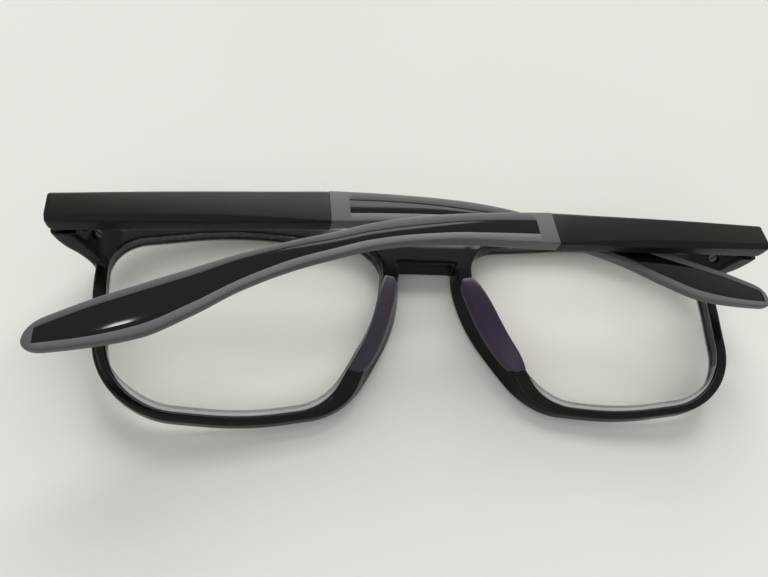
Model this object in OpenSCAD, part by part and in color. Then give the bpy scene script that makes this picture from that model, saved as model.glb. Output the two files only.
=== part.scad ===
// Folding full-rim glasses, lying face down with the temples folded across the back.
// X runs across the face, Y runs from the lower rims to the brow, Z runs from the front to the rear.
// The origin is the middle of the bridge on the flat front face that the glasses rest on.

/* [Lenses] */
// Width of each lens opening
lens_w = 53.8; // [46:0.1:60]
// Height of each lens opening
lens_h = 38.9; // [32:0.1:46]
// Distance between the two lens openings
bridge_w = 16.9; // [14:0.1:24]
// Thickness of each lens
lens_t = 2.2; // [1.6:0.1:3]
// Height of the ridge round the lens edge that snaps into the rim
ridge_h = 0.6; // [0.3:0.1:0.9]
// Width of that ridge
ridge_w = 0.7; // [0.4:0.1:1]
// Distance from the front of the rim to the front of the lens
lens_set = 1.3; // [0.6:0.1:1.6]
// Gap between a lens and its rim
lens_gap = 0.05; // [0.02:0.01:0.1]

/* [Front] */
// Depth of the rims from front to rear
rim_depth = 3.2; // [2.8:0.1:4.5]
// Width of the rim above the lens
rim_top = 3; // [2:0.1:5]
// Width of the rim at the temple side
rim_side = 2.2; // [1.6:0.1:4]
// Width of the rim below the lens
rim_bottom = 1.6; // [1.2:0.1:3]
// Width of the rim at the nose
rim_nose = 3.7; // [2.6:0.1:4.2]
// Depth of the rim at the nose, under the pads
nose_depth = 5; // [4:0.1:6.5]
// Height of the bridge
bridge_h = 8; // [5:0.1:10]
// Depth of the bridge
bridge_depth = 4.4; // [3.6:0.1:6]
// Height of the middle of the bridge above the middle of the lenses
bridge_y = 16.5; // [12:0.1:18]
// Width of the flat part of the front face
flat_w = 40; // [24:1:60]
// How far the front face curves back at the outer edge of the lens
wrap = 3.6; // [0:0.1:5]

/* [Nose pads] */
// Height that each soft pad stands behind the rim
pad_rise = 3.4; // [2:0.1:5]
// Length of each pad along the nose
pad_l = 22; // [16:0.5:26]
// Distance of the middle of the lens above the middle of the pad's lower end
pad_drop = 12.3; // [10:0.1:14]
// Distance of the pad from the nose edge of the rim
pad_inset = 0.2; // [0.1:0.1:1]

/* [Hinges] */
// Distance of each hinge axis outside the lens opening
hinge_out = 5.3; // [4.8:0.1:7.5]
// Height of the hinges above the middle of the lenses
hinge_y = 12.2; // [11:0.1:14]
// Distance of the hinge axes behind the front face
hinge_z = 17.5; // [15:0.1:20]
// Height of the lug that carries each hinge
lug_h = 6.4; // [5.6:0.1:8]
// Thickness of the lug at its rear end
lug_t = 4.1; // [3.6:0.1:5]
// Radius of the hinge knuckles
knuckle_r = 1.35; // [1.2:0.05:1.5]
// Width of the three knuckles together
hinge_w = 4; // [3.4:0.1:4.2]
// Width of the middle knuckle, which belongs to the temple
mid_knuckle_w = 1.4; // [1:0.1:1.8]
// Gap between neighbouring knuckles
knuckle_gap = 0.1; // [0.05:0.01:0.2]
// Radius of the hinge screw
screw_r = 0.7; // [0.5:0.05:0.8]
// Radius of the hinge screw's head
screw_head_r = 1.2; // [1.05:0.05:1.25]
// Height of the hinge screw's head
screw_head_h = 0.55; // [0.3:0.05:0.6]
// Running gap between the hinge screw and its bores
screw_gap = 0.02; // [0.01:0.01:0.08]
// Thickness of the hinge leaves
leaf_t = 1; // [0.8:0.1:1.2]
// Length of the leaf in the lug, from the hinge axis
front_leaf_l = 9; // [8:0.1:10]
// Length of the leaf in the temple, from the hinge axis
temple_leaf_l = 12; // [10:0.5:16]
// Slant of the leaf in the lug
leaf_slant = 24; // [18:1:28]
// Radius of the small screws that hold the leaves
fixing_r = 0.5; // [0.35:0.05:0.6]
// Radius of their heads
fixing_head_r = 0.85; // [0.7:0.05:0.95]
// Height of their heads
fixing_head_h = 0.4; // [0.3:0.05:0.5]
// Gap between the temple's end and the lug
joint_gap = 0.2; // [0.15:0.05:0.3]

/* [Temples] */
// Length of each temple from its hinge end to its tip
temple_l = 136.5; // [130:0.1:150]
// Distance from the hinge end to the hinge axis
end_set = 1.9; // [1.7:0.05:2]
// Distance from the outer face to the hinge axis
skin_set = 2.2; // [2:0.05:2.4]
// Thickness at the hinge
root_t = 3.8; // [3.6:0.1:4.4]
// Thickness where the sleeve begins
collar_t = 3; // [2.7:0.1:3.6]
// Thickness at the tip
tip_t = 2; // [1.8:0.1:3]
// Height at the hinge
root_h = 5.8; // [5.8:0.1:7]
// Distance from the hinge end to the start of the sleeve
collar_x = 48.2; // [42:0.1:54]
// Height where the sleeve begins
collar_h = 7.3; // [6.4:0.1:8]
// Distance from the hinge end to the waist
waist_x = 66; // [60:1:72]
// Height at the waist
waist_h = 6; // [5:0.1:7]
// Distance from the tip to the start of the ear bend
bend_x = 52.5; // [46.5:1:58.5]
// Drop of the middle line at the start of the ear bend
bend_drop = 1.2; // [0.5:0.1:3]
// Height at the start of the ear bend
bend_h = 5.1; // [4.6:0.1:6]
// Distance from the tip to the middle of the ear bend
ear_x = 32.5; // [26.5:1:38.5]
// Drop of the middle line at the middle of the ear bend
ear_drop = 7.6; // [5:0.1:10]
// Height at the middle of the ear bend
ear_h = 6.1; // [5.6:0.1:8]
// Distance from the tip to the widest part of the paddle
paddle_x = 17; // [10.5:0.5:22.5]
// Drop of the middle line at the paddle
paddle_drop = 15.1; // [12:0.1:20]
// Height of the paddle
paddle_h = 9.8; // [8:0.1:11]
// Drop of the middle line at the tip
tip_drop = 20; // [18:0.1:26]
// Height at the tip
tip_h = 4.6; // [4:0.1:6]
// Thickness of the sleeve over the core
sleeve_t = 0.7; // [0.5:0.1:0.8]
// Width of the sleeve's border round the inlaid rib of the core
border = 1.7; // [1.3:0.1:2]
// Distance from the start of the sleeve to the start of the rib
rib_set = 3.6; // [2.5:0.1:6]
// Depth of the rib below the sleeve's outer face
rib_sink = 0.15; // [0.05:0.05:0.4]

/* [Folded pose] */
// Skew of both hinge axes, which makes the folded temples cross
skew = 3; // [2:0.1:4]
// Angle by which the folded right temple rises over the left one
right_rise = 2.2; // [2:0.1:3]
// Angle by which the folded left temple dips under the right one
left_dip = 1.5; // [1.3:0.1:2.2]

/* [Hidden] */

// Largest turn of one step along a rounded corner, in degrees
arc_step = 8;
// Number of facets of small round pieces
round_fn = 32;
// Length that cutting tools run past what they cut
over = 1;
// Far enough to reach past any part of the glasses
far = 200;
// Step of the curved front face along X
slab_step = 4;

// Lens opening, for the lens on the +X side: corners go clockwise from the upper nose corner.
// Each corner is [x, y, radius].
nose_x = bridge_w / 2;
outer_x = nose_x + lens_w;
top_y = lens_h / 2;
hinge_x = outer_x + hinge_out;
// Heights of the corner points below the highest point of the lens, and above or below its lowest
crown = 2.3;
outer_fall = 5.7;
low_outer_rise = 1.3;
low_nose_rise = 1.4;
belly = 0.6;
// How far the sides lean in at their middle and at the lower corners
nose_bend = 2.4;
nose_slant = 13;
side_bend = 0.7;
side_slant = 3.8;
// Where the edges bend, as shares of the width and of half the height
peak_share = 0.58;
belly_share = 0.51;
side_share = 0.16;
nose_share = 0;
// Radii of the corners
top_nose_r = 7.8;
top_outer_r = 7.5;
low_outer_r = 14;
low_nose_r = 10.8;
// Radii of the slow bends along the upper and lower edges, the side and the nose edge
edge_r = 60;
side_r = 40;
nose_r = 30;
opening_corners = [
  [nose_x, top_y - crown, top_nose_r],
  [nose_x + lens_w * peak_share, top_y, edge_r],
  [outer_x, top_y - outer_fall, top_outer_r],
  [outer_x - side_bend, top_y * side_share, side_r],
  [outer_x - side_slant, low_outer_rise - top_y, low_outer_r],
  [nose_x + lens_w * belly_share, -top_y - belly, edge_r],
  [nose_x + nose_slant, low_nose_rise - top_y, low_nose_r],
  [nose_x + nose_bend, top_y * nose_share, nose_r]
];
rim_widths = [rim_top, rim_top, rim_side, rim_side, rim_bottom, rim_bottom, rim_nose, rim_nose];
rim_corners = grow(opening_corners, rim_widths);

// Lug: outline seen along Y, as [x, z]
// How far the lug's outer face lies inside the temple's
lug_step = 0.2;
// How far the lug reaches into the rim, and how far its foot lies inside the rim's edge
lug_root = 2;
lug_foot = 1;
// Bevel from the foot to the outer side, and the straight lip at the rear of that side
lug_bevel = [2.6, 1.7];
lug_lip = 1.2;
// Slope of the inner side behind the hinge, and the fillet between it and the rim
lug_slope = [1.5, 2.4];
lug_fillet = [1.4, 0.8];
lug_rear = hinge_z - end_set - joint_gap;
lug_out = hinge_x + skin_set - lug_step;
lug_foot_x = outer_x + rim_side - lug_foot;
rim_rear = front_z(outer_x) + rim_depth;
lug_outline = [
  [outer_x - lug_root, front_z(outer_x - lug_root)],
  [lug_foot_x, front_z(lug_foot_x)],
  [lug_foot_x, front_z(lug_foot_x)] + lug_bevel,
  [lug_out, lug_rear - lug_lip],
  [lug_out, lug_rear],
  [lug_out - lug_t, lug_rear],
  [lug_out - lug_t, lug_rear] - lug_slope,
  [outer_x - lug_root, rim_rear] + lug_fillet,
  [outer_x - lug_root, rim_rear]
];

// Hinge pocket in the temple's end, with its clearances round the knuckles
pocket_gap = 0.15;
pocket_end_gap = 0.3;
pocket_l = end_set + knuckle_r + pocket_end_gap;
pocket_half = hinge_w / 2 + pocket_gap;
pocket_skin = skin_set - knuckle_r - pocket_gap;
mid_gap_half = mid_knuckle_w / 2 + knuckle_gap;

// Small screws: places as shares of the leaf's length, clearance, length above the leaf, room over the head
fixing_places = [0.55, 0.85];
fixing_gap = 0.02;
fixing_grip = 1.1;
fixing_room = 10;
fixing_l = leaf_t / 2 + fixing_grip;

// Nose flange: places of its ramps, as shares of half the lens height
flange_foot = -0.95;
flange_low = -0.6;
flange_high = 0.4;
flange_top = 0.62;
// How far the bridge reaches into the rims
bridge_root = 2;

// Nose pad: how far its lower end stands out, bow of its middle towards the nose, lean of its crest
pad_flare = 4.6;
pad_bow = 1.1;
pad_lean = 0.9;
// Height of its edge, radius of its crest, narrowing of its upper end
pad_edge = 0.4;
pad_crest_r = 1;
pad_narrow = 0.35;

// Ridge round the lens
ridge_front = lens_set + (lens_t - ridge_w) / 2;

// Temple: stations along its middle line, each [distance, drop, height, edge radius]
root_drop = 0;
collar_drop = -1;
waist_drop = -0.9;
// Radii of the bends at the stations
waist_r = 70;
bend_r = 60;
paddle_r = 14;
tip_r = 2.2;
stations = [
  [0, root_drop, root_h, 0],
  [collar_x, collar_drop, collar_h, 0],
  [waist_x, waist_drop, waist_h, waist_r],
  [temple_l - bend_x, bend_drop, bend_h, bend_r],
  [temple_l - ear_x, ear_drop, ear_h, bend_r],
  [temple_l - paddle_x, paddle_drop, paddle_h, paddle_r],
  [temple_l, tip_drop, tip_h, tip_r]
];
front_stations = [for (i = [0:1]) stations[i]];
sleeve_stations = [for (i = [1:6]) stations[i]];
tip_slope = (tip_drop - paddle_drop) / paddle_x;
// The blade is the core inside the sleeve, and the rib is the part of it that shows
blade_border = border * 0.7;
blade_back = border * 1.6;
blade_stations = [for (i = [1:6]) shrink(stations[i], blade_border, i == 6 ? blade_back : 0)];
rib_x = collar_x + rib_set;
rib_drop = -0.6;
rib_stations = [
  [rib_x, rib_drop, bend_h - 2 * border, 0],
  for (i = [2:6]) shrink(stations[i], border, i == 6 ? border : 0)
];

// Rounded outlines
function unit(v) = v / norm(v);
function cross2(a, b) = a.x * b.y - a.y * b.x;
function flat(c) = [c.x, c.y];
function spin(v, g) = [v.x * cos(g) - v.y * sin(g), v.x * sin(g) + v.y * cos(g)];
function around(cs, i) = let (n = len(cs)) [flat(cs[(i + n - 1) % n]), flat(cs[i]), flat(cs[(i + 1) % n])];
// Arc that rounds the corner q between p and s
function corner_arc(p, q, s, r) =
  let (
    a = unit(q - p),
    b = unit(s - q),
    w = atan2(cross2(a, b), a * b),
    start = q - a * r * tan(abs(w) / 2),
    middle = start + sign(w) * r * [-a.y, a.x],
    n = max(1, ceil(abs(w) / arc_step))
  )
  r == 0 || w == 0 ? [q] : [for (i = [0:n]) middle + spin(start - middle, w * i / n)];
// Length that rounding the corner q takes from each of its sides
function corner_cut(p, q, s, r) =
  let (
    a = unit(q - p),
    b = unit(s - q)
  )
  r * tan(abs(atan2(cross2(a, b), a * b)) / 2);
// Corners whose radii are limited by their sides, so that neighbouring arcs don't overlap
function fitted(cs) =
  let (
    n = len(cs),
    cuts = [for (i = [0:n - 1]) let (t = around(cs, i)) corner_cut(t[0], t[1], t[2], cs[i].z)],
    shares = [
      for (i = [0:n - 1])
        let (k = (i + 1) % n, taken = cuts[i] + cuts[k])
        taken == 0 ? 1 : min(1, norm(flat(cs[k]) - flat(cs[i])) / taken)
    ]
  )
  [for (i = [0:n - 1]) [cs[i].x, cs[i].y, cs[i].z * min(shares[i], shares[(i + n - 1) % n])]];
function rounded(corners) = let (cs = fitted(corners)) [
  for (i = [0:len(cs) - 1]) let (t = around(cs, i)) each corner_arc(t[0], t[1], t[2], cs[i].z)
];
// Moves each side of a clockwise outline outwards by its own distance in w
function grow(cs, w) = [
  for (i = [0:len(cs) - 1])
    let (
      t = around(cs, i),
      a = unit(t[1] - t[0]),
      b = unit(t[2] - t[1]),
      wa = w[(i + len(w) - 1) % len(w)],
      wb = w[i],
      shift = wb * [-b.y, b.x] - wa * [-a.y, a.x],
      q = t[1] + wa * [-a.y, a.x] + a * cross2(shift, b) / cross2(a, b)
    )
    [q.x, q.y, cs[i].z + (wa + wb) / 2]
];
function all_sides(d) = [for (c = opening_corners) d];

// Front face: flat in the middle, curved back towards the lugs
function front_z(x) = wrap * pow(max(0, abs(x) - flat_w / 2) / (outer_x - flat_w / 2), 2);

// A station drawn in by d on both edges and by back along the temple
function shrink(s, d, back) = [s[0] - back, s[1] - back * tip_slope, s[2] - 2 * d, max(0, s[3] - d)];
// Outline of a temple piece from its stations: along the top, then back along the bottom
function band(ss) = rounded([
  for (s = ss) [s[0], s[2] / 2 - s[1], s[3]],
  for (i = [len(ss) - 1:-1:0]) [ss[i][0], -ss[i][2] / 2 - ss[i][1], ss[i][3]]
]);

// Plate between two depths behind the curved front face
module slab(z0, z1) {
  xs = [for (x = [-far / 2:slab_step:far / 2]) x];
  points = concat(
    [for (x = xs) [x, front_z(x) + z0]],
    [for (i = [len(xs) - 1:-1:0]) [xs[i], front_z(xs[i]) + z1]]
  );
  rotate([90, 0, 0])
    translate([0, 0, -far / 2])
      linear_extrude(far)
        polygon(points);
}

module column(corners) {
  translate([0, 0, -over])
    linear_extrude(far)
      polygon(rounded(corners));
}

// Both sides of the glasses: 1 is the +X side, -1 the other
module on_side(side) {
  mirror([side < 0 ? 1 : 0, 0, 0]) children();
}

// Puts the middle of the bridge at the origin
module seat() {
  translate([0, -bridge_y, 0]) children();
}

// Hinge frame: X along the folded temple, Y along the hinge axis, Z outwards, origin on the axis
module hinge_frame(side) {
  seat()
    on_side(side)
      translate([hinge_x, hinge_y, hinge_z])
        rotate([0, 0, side * skew])
          mirror([1, 0, 0])
            children();
}

module temple_frame(side) {
  hinge_frame(side)
    rotate([0, side > 0 ? -right_rise : left_dip, 0])
      translate([-end_set, 0, skin_set])
        children();
}

// Front frame
module rim(side) {
  on_side(side)
    intersection() {
      column(rim_corners);
      slab(0, rim_depth);
    }
}

module nose_flange(side) {
  outline = [
    [top_y * flange_foot, 0], [top_y * flange_foot, rim_depth], [top_y * flange_low, nose_depth],
    [top_y * flange_high, nose_depth], [top_y * flange_top, rim_depth], [top_y * flange_top, 0]
  ];
  on_side(side)
    intersection() {
      column(rim_corners);
      rotate([90, 0, 90])
        linear_extrude(nose_x + nose_slant)
          polygon(outline);
    }
}

module bridge() {
  half = nose_x + bridge_root;
  intersection() {
    translate([-half, bridge_y - bridge_h / 2, 0])
      cube([2 * half, bridge_h, bridge_depth]);
    slab(0, bridge_depth);
  }
}

module lug(side) {
  on_side(side)
    translate([0, hinge_y + lug_h / 2, 0])
      rotate([90, 0, 0])
        linear_extrude(lug_h)
          polygon(lug_outline);
}

module lens_cut(side) {
  on_side(side) {
    column(opening_corners);
    intersection() {
      column(grow(opening_corners, all_sides(ridge_h + lens_gap)));
      slab(ridge_front - lens_gap, ridge_front + ridge_w + lens_gap);
    }
  }
}

// Plate of the leaf in the lug, in the hinge frame, with its slant
module front_plate(l) {
  rotate([0, -leaf_slant, 0])
    translate([-leaf_t / 2, -hinge_w / 2, -l])
      cube([leaf_t, hinge_w, l]);
}

// Places along the slanted leaf, with Z pointing out of the lug's inner side
module front_fixings() {
  for (k = fixing_places)
    rotate([0, -leaf_slant, 0])
      translate([0, 0, -k * front_leaf_l])
        rotate([0, 90, 0])
          children();
}

module fixing_hole() {
  translate([0, 0, -leaf_t / 2 - over])
    cylinder(r = fixing_r + fixing_gap, h = fixing_l + leaf_t / 2 + over, $fn = round_fn);
  translate([0, 0, fixing_l - fixing_head_h - fixing_gap])
    cylinder(r = fixing_head_r + fixing_gap, h = fixing_room, $fn = round_fn);
}

module fixing_screw() {
  translate([0, 0, -leaf_t / 2 - over])
    cylinder(r = fixing_r, h = fixing_l + leaf_t / 2 + over - fixing_head_h, $fn = round_fn);
  translate([0, 0, fixing_l - fixing_head_h])
    difference() {
      cylinder(r = fixing_head_r, h = fixing_head_h, $fn = round_fn);
      translate([-fixing_head_r, -fixing_head_r / 6, fixing_head_h / 2])
        cube([2 * fixing_head_r, fixing_head_r / 3, fixing_head_h]);
    }
}

module front_frame() {
  color("#17181a")
    difference() {
      union() {
        seat() {
          for (side = [-1, 1]) {
            rim(side);
            nose_flange(side);
            lug(side);
          }
          bridge();
        }
      }
      seat() for (side = [-1, 1]) lens_cut(side);
      for (side = [-1, 1])
        hinge_frame(side) {
          front_plate(front_leaf_l);
          front_fixings() fixing_hole();
        }
    }
}

module lens(side) {
  color("#dfe6ee", 0.4)
    seat()
      on_side(side) {
        intersection() {
          column(grow(opening_corners, all_sides(-lens_gap)));
          slab(lens_set, lens_set + lens_t);
        }
        intersection() {
          column(grow(opening_corners, all_sides(ridge_h)));
          slab(ridge_front, ridge_front + ridge_w);
        }
      }
}

// Soft pad: a leaf that stands on the rear of the nose flange and leans towards the lens
module nose_pad(side) {
  base_r = (rim_nose - pad_inset) / 2;
  low = [nose_x + nose_bend + pad_flare, -pad_drop];
  high = [nose_x - rim_nose / 3, pad_l - pad_drop - base_r];
  middle = (low + high) / 2 - [pad_bow, 0];
  color("#3b3442")
    seat()
      on_side(side)
        difference() {
          hull()
            for (e = [[low, base_r], [middle, base_r], [high, base_r - pad_narrow]]) {
              translate([e[0].x, e[0].y, nose_depth])
                cylinder(r = e[1], h = pad_edge, $fn = round_fn);
              translate([e[0].x + pad_lean, e[0].y, nose_depth + pad_rise - pad_crest_r])
                sphere(r = pad_crest_r, $fn = round_fn);
            }
          column(opening_corners);
          translate([-far / 2, -far / 2, nose_depth - far])
            cube([far, far, far]);
        }
}

// Hinge
module knuckle(y, w) {
  translate([0, y, 0])
    rotate([-90, 0, 0])
      cylinder(r = knuckle_r, h = w, $fn = round_fn);
}

module screw_bore() {
  translate([0, -far / 2, 0])
    rotate([-90, 0, 0])
      cylinder(r = screw_r + screw_gap, h = far, $fn = round_fn);
}

module front_hinge_leaf(side) {
  side_w = hinge_w / 2 - mid_gap_half;
  color("#8b8d92")
    hinge_frame(side)
      difference() {
        union() {
          knuckle(mid_gap_half, side_w);
          knuckle(-hinge_w / 2, side_w);
          front_plate(front_leaf_l);
        }
        translate([0, -mid_gap_half, 0])
          rotate([-90, 0, 0])
            cylinder(r = knuckle_r + 2 * knuckle_gap, h = 2 * mid_gap_half, $fn = round_fn);
        screw_bore();
        front_fixings() fixing_hole();
      }
}

module front_leaf_screws() {
  color("#a4a6aa")
    for (side = [-1, 1])
      hinge_frame(side)
        front_fixings()
          fixing_screw();
}

module hinge_screw(side) {
  color("#a4a6aa")
    hinge_frame(side) {
      translate([0, -hinge_w / 2, 0])
        rotate([-90, 0, 0])
          cylinder(r = screw_r, h = hinge_w, $fn = round_fn);
      translate([0, hinge_w / 2, 0])
        rotate([-90, 0, 0])
          difference() {
            cylinder(r = screw_head_r, h = screw_head_h, $fn = round_fn);
            translate([-screw_head_r, -screw_r / 4, screw_head_h / 2])
              cube([2 * screw_head_r, screw_r / 2, screw_head_h]);
          }
    }
}

// Temple pieces, in the temple frame: X from the hinge end to the tip, Z outwards from the outer face
module band_solid(ss, z0, z1) {
  translate([0, 0, z0])
    linear_extrude(z1 - z0)
      polygon(band(ss));
}

// Wedge that gives the temple its taper, inset by d from both faces
module taper(d) {
  outline = [
    [-over, -d], [temple_l + over, -d], [temple_l + over, d - tip_t],
    [collar_x, d - collar_t], [-over, d - root_t]
  ];
  translate([0, far / 2, 0])
    rotate([90, 0, 0])
      linear_extrude(far)
        polygon(outline);
}

module blade() {
  intersection() {
    band_solid(blade_stations, -root_t, 0);
    taper(sleeve_t);
  }
}

module rib() {
  band_solid(rib_stations, -collar_t / 2, -rib_sink);
}

// Places of the small screws along the temple leaf, with Z pointing out of the temple's inner face
module temple_fixings() {
  for (k = fixing_places)
    translate([end_set + k * temple_leaf_l, 0, -skin_set])
      rotate([180, 0, 0])
        children();
}

module temple_plate() {
  translate([pocket_l, -hinge_w / 2, -skin_set - leaf_t / 2])
    cube([end_set + temple_leaf_l - pocket_l, hinge_w, leaf_t]);
}

module temple_core(side) {
  color("#1b1c1f")
    temple_frame(side)
      difference() {
        union() {
          intersection() {
            band_solid(front_stations, -root_t, 0);
            taper(0);
          }
          blade();
          rib();
        }
        end_round();
        translate([-over, -pocket_half, -root_t - over])
          cube([pocket_l + over, 2 * pocket_half, root_t + over - pocket_skin]);
        translate([end_set, 0, -skin_set])
          rotate([-90, 0, 0])
            cylinder(r = screw_head_r + pocket_gap, h = root_h, $fn = round_fn);
        temple_plate();
        temple_fixings() fixing_hole();
      }
}

// Rounds the inner corner of the temple's end about the hinge axis, so that it clears the lug
module end_round() {
  difference() {
    translate([-over, -root_h, -root_t - over])
      cube([end_set + over, 2 * root_h, root_t + over - skin_set]);
    translate([end_set, -root_h - over, -skin_set])
      rotate([-90, 0, 0])
        cylinder(r = end_set, h = 2 * (root_h + over), $fn = round_fn);
  }
}

module temple_sleeve(side) {
  color("#6d6970")
    temple_frame(side)
      difference() {
        intersection() {
          band_solid(sleeve_stations, -root_t, 0);
          taper(0);
        }
        blade();
        band_solid(rib_stations, -collar_t / 2, over);
      }
}

module temple_hinge_leaf(side) {
  color("#8b8d92")
    temple_frame(side)
      difference() {
        union() {
          translate([end_set, 0, -skin_set])
            knuckle(-mid_knuckle_w / 2, mid_knuckle_w);
          translate([end_set, -mid_knuckle_w / 2, -skin_set - leaf_t / 2])
            cube([pocket_l - end_set + over, mid_knuckle_w, leaf_t]);
          temple_plate();
        }
        translate([end_set, 0, -skin_set])
          screw_bore();
        temple_fixings() fixing_hole();
      }
}

module temple_leaf_screws(side) {
  color("#a4a6aa")
    temple_frame(side)
      temple_fixings()
        fixing_screw();
}

front_frame();
lens(-1);  // left_lens
lens(1);  // right_lens
nose_pad(-1);  // left_nose_pad
nose_pad(1);  // right_nose_pad
front_hinge_leaf(-1);  // left_front_hinge_leaf
front_hinge_leaf(1);  // right_front_hinge_leaf
front_leaf_screws();
hinge_screw(-1);  // left_hinge_screw
hinge_screw(1);  // right_hinge_screw
temple_core(-1);  // left_temple_core
temple_sleeve(-1);  // left_temple_sleeve
temple_hinge_leaf(-1);  // left_temple_hinge_leaf
temple_leaf_screws(-1);  // left_temple_leaf_screws
temple_core(1);  // right_temple_core
temple_sleeve(1);  // right_temple_sleeve
temple_hinge_leaf(1);  // right_temple_hinge_leaf
temple_leaf_screws(1);  // right_temple_leaf_screws
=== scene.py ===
"""Folding full-rim glasses, lying face down with the temples folded across the rear.

Shapes are written in millimetres and turned into metres when a mesh is made. In the front, heights count
from the middle of the lenses until a point is placed in the CAD frame, whose origin is the middle of
the bridge.
"""

import math

import bmesh
import bpy
import numpy as np
from mathutils import Matrix, Vector

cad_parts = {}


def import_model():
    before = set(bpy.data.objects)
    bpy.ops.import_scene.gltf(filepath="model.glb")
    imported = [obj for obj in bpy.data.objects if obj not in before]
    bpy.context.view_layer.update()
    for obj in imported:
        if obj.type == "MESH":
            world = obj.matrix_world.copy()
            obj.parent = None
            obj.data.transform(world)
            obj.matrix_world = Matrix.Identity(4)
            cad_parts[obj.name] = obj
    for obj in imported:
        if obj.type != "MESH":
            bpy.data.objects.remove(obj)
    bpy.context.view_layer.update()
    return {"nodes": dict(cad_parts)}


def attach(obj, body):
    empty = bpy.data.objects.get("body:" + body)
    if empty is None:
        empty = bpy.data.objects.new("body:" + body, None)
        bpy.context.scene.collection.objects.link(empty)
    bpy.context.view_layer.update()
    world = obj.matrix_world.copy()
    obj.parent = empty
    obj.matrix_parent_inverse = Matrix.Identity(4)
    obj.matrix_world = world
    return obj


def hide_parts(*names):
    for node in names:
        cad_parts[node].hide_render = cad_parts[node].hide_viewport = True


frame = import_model()

MM = 0.001

# Sizes repeated from the CAD source, in millimetres and degrees

# Lenses, rims and bridge, with depths counted from the front face
LENS_W, LENS_H, BRIDGE_W = 53.8, 38.9, 16.9
LENS_SET, LENS_T = 1.3, 2.2
RIM_DEPTH, NOSE_DEPTH = 3.2, 5.0
RIM_TOP, RIM_SIDE, RIM_BOTTOM, RIM_NOSE = 3.0, 2.2, 1.6, 3.7
BRIDGE_Y = 16.5
# The front is flat in the middle, and its ends curve back by the wrap
FLAT_HALF, WRAP = 20.0, 3.6
# Hinge axis, and how far the temple's end and outer face lie from it
HINGE_OUT, HINGE_Y, HINGE_Z = 5.3, 12.2, 17.5
END_SET, SKIN_SET, JOINT_GAP = 1.9, 2.2, 0.2
KNUCKLE_R, HINGE_W, SCREW_HEAD_R = 1.35, 4.0, 1.2
# Front hinge leaves, with the places of their screws as shares of the length
LEAF_SLANT, FRONT_LEAF_L, LEAF_SCREWS = 24.0, 9.0, (0.55, 0.85)
# Skew of the hinge axes, tilt of each folded temple, start of the sleeve and length of the temple
SKEW, RIGHT_RISE, LEFT_DIP = 3.0, 2.2, 1.5
COLLAR_T, TEMPLE_L = 48.2, 136.5

NOSE_X = BRIDGE_W / 2
OUTER_X = NOSE_X + LENS_W
TOP_Y = LENS_H / 2
HINGE_X = OUTER_X + HINGE_OUT
LENS_CENTRE = np.array([NOSE_X + LENS_W / 2, 0.0])

# Corners of the right lens opening as (x, y, radius), clockwise from the upper nose corner
OPENING = [
    (NOSE_X, TOP_Y - 2.3, 7.8),
    (NOSE_X + LENS_W * 0.58, TOP_Y, 60.0),
    (OUTER_X, TOP_Y - 5.7, 7.5),
    (OUTER_X - 0.7, TOP_Y * 0.16, 40.0),
    (OUTER_X - 3.8, 1.3 - TOP_Y, 14.0),
    (NOSE_X + LENS_W * 0.51, -TOP_Y - 0.6, 60.0),
    (NOSE_X + 13.0, 1.4 - TOP_Y, 10.8),
    (NOSE_X + 2.4, 0.0, 30.0),
]
# Width of the rim along the side that starts at each corner; the last sides lie along the nose
RIM_WIDTHS = [RIM_TOP, RIM_TOP, RIM_SIDE, RIM_SIDE, RIM_BOTTOM, RIM_BOTTOM, RIM_NOSE, RIM_NOSE]
NOSE_SIDES = 2

# Steps of a rounded corner in the sections of rims, lugs, bridge and temple bars
CORNER_STEPS = 5
# Smallest divisor, and how far past the end of a side a ray may still meet it
TINY, SLACK = 1e-12, 1e-9
# Points closer than this, in millimetres, become one
MERGE = 1e-5


# Outlines and curves

def unit(v):
    return v / np.linalg.norm(v)


def left_of(v):
    return np.array([-v[1], v[0]])


def turned(v, angle):
    c, s = math.cos(angle), math.sin(angle)
    return np.array([v[0] * c - v[1] * s, v[0] * s + v[1] * c])


def cross2(a, b):
    return a[0] * b[1] - a[1] * b[0]


def corner_at(corners, i):
    """A corner of a closed outline, and the directions of the sides before and after it."""
    before, here, after = (np.array(corners[k % len(corners)][:2]) for k in (i - 1, i, i + 1))
    return here, unit(here - before), unit(after - here)


def rounded(corners, step=2.0, count=None):
    """Closed outline with each corner (x, y, radius) rounded, by steps in degrees or by a count of steps."""
    points = []
    for i, (_, _, r) in enumerate(corners):
        corner, a, b = corner_at(corners, i)
        angle = math.atan2(cross2(a, b), a @ b)
        start = corner - a * r * math.tan(abs(angle) / 2)
        spoke = -math.copysign(r, angle) * left_of(a)
        steps = count or max(1, math.ceil(math.degrees(abs(angle)) / step))
        points += [start - spoke + turned(spoke, angle * k / steps) for k in range(steps + 1)]
    return np.array(points)


def grow(corners, widths):
    """Moves each side of a clockwise outline outwards by its own width."""
    grown = []
    for i, (_, _, r) in enumerate(corners):
        corner, a, b = corner_at(corners, i)
        before, after = widths[i - 1], widths[i]
        shift = after * left_of(b) - before * left_of(a)
        x, y = corner + before * left_of(a) + a * cross2(shift, b) / cross2(a, b)
        grown.append((x, y, r + (before + after) / 2))
    return grown


def around_lens(corners, angles):
    """Where rays from the middle of the lens at the given angles meet a rounded outline."""
    outline = rounded(corners)
    a = (outline - LENS_CENTRE).T
    e = (np.roll(outline, -1, axis=0) - LENS_CENTRE).T - a
    hits = []
    for g in angles:
        ray = np.array([math.cos(g), math.sin(g)])
        divisor = cross2(ray, e)
        divisor = np.where(abs(divisor) < TINY, TINY, divisor)
        far, along = cross2(a, e) / divisor, cross2(a, ray) / divisor
        met = (along >= -SLACK) & (along <= 1 + SLACK) & (far > 0)
        hits.append(LENS_CENTRE + ray * far[met].max())
    return np.array(hits)


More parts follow.
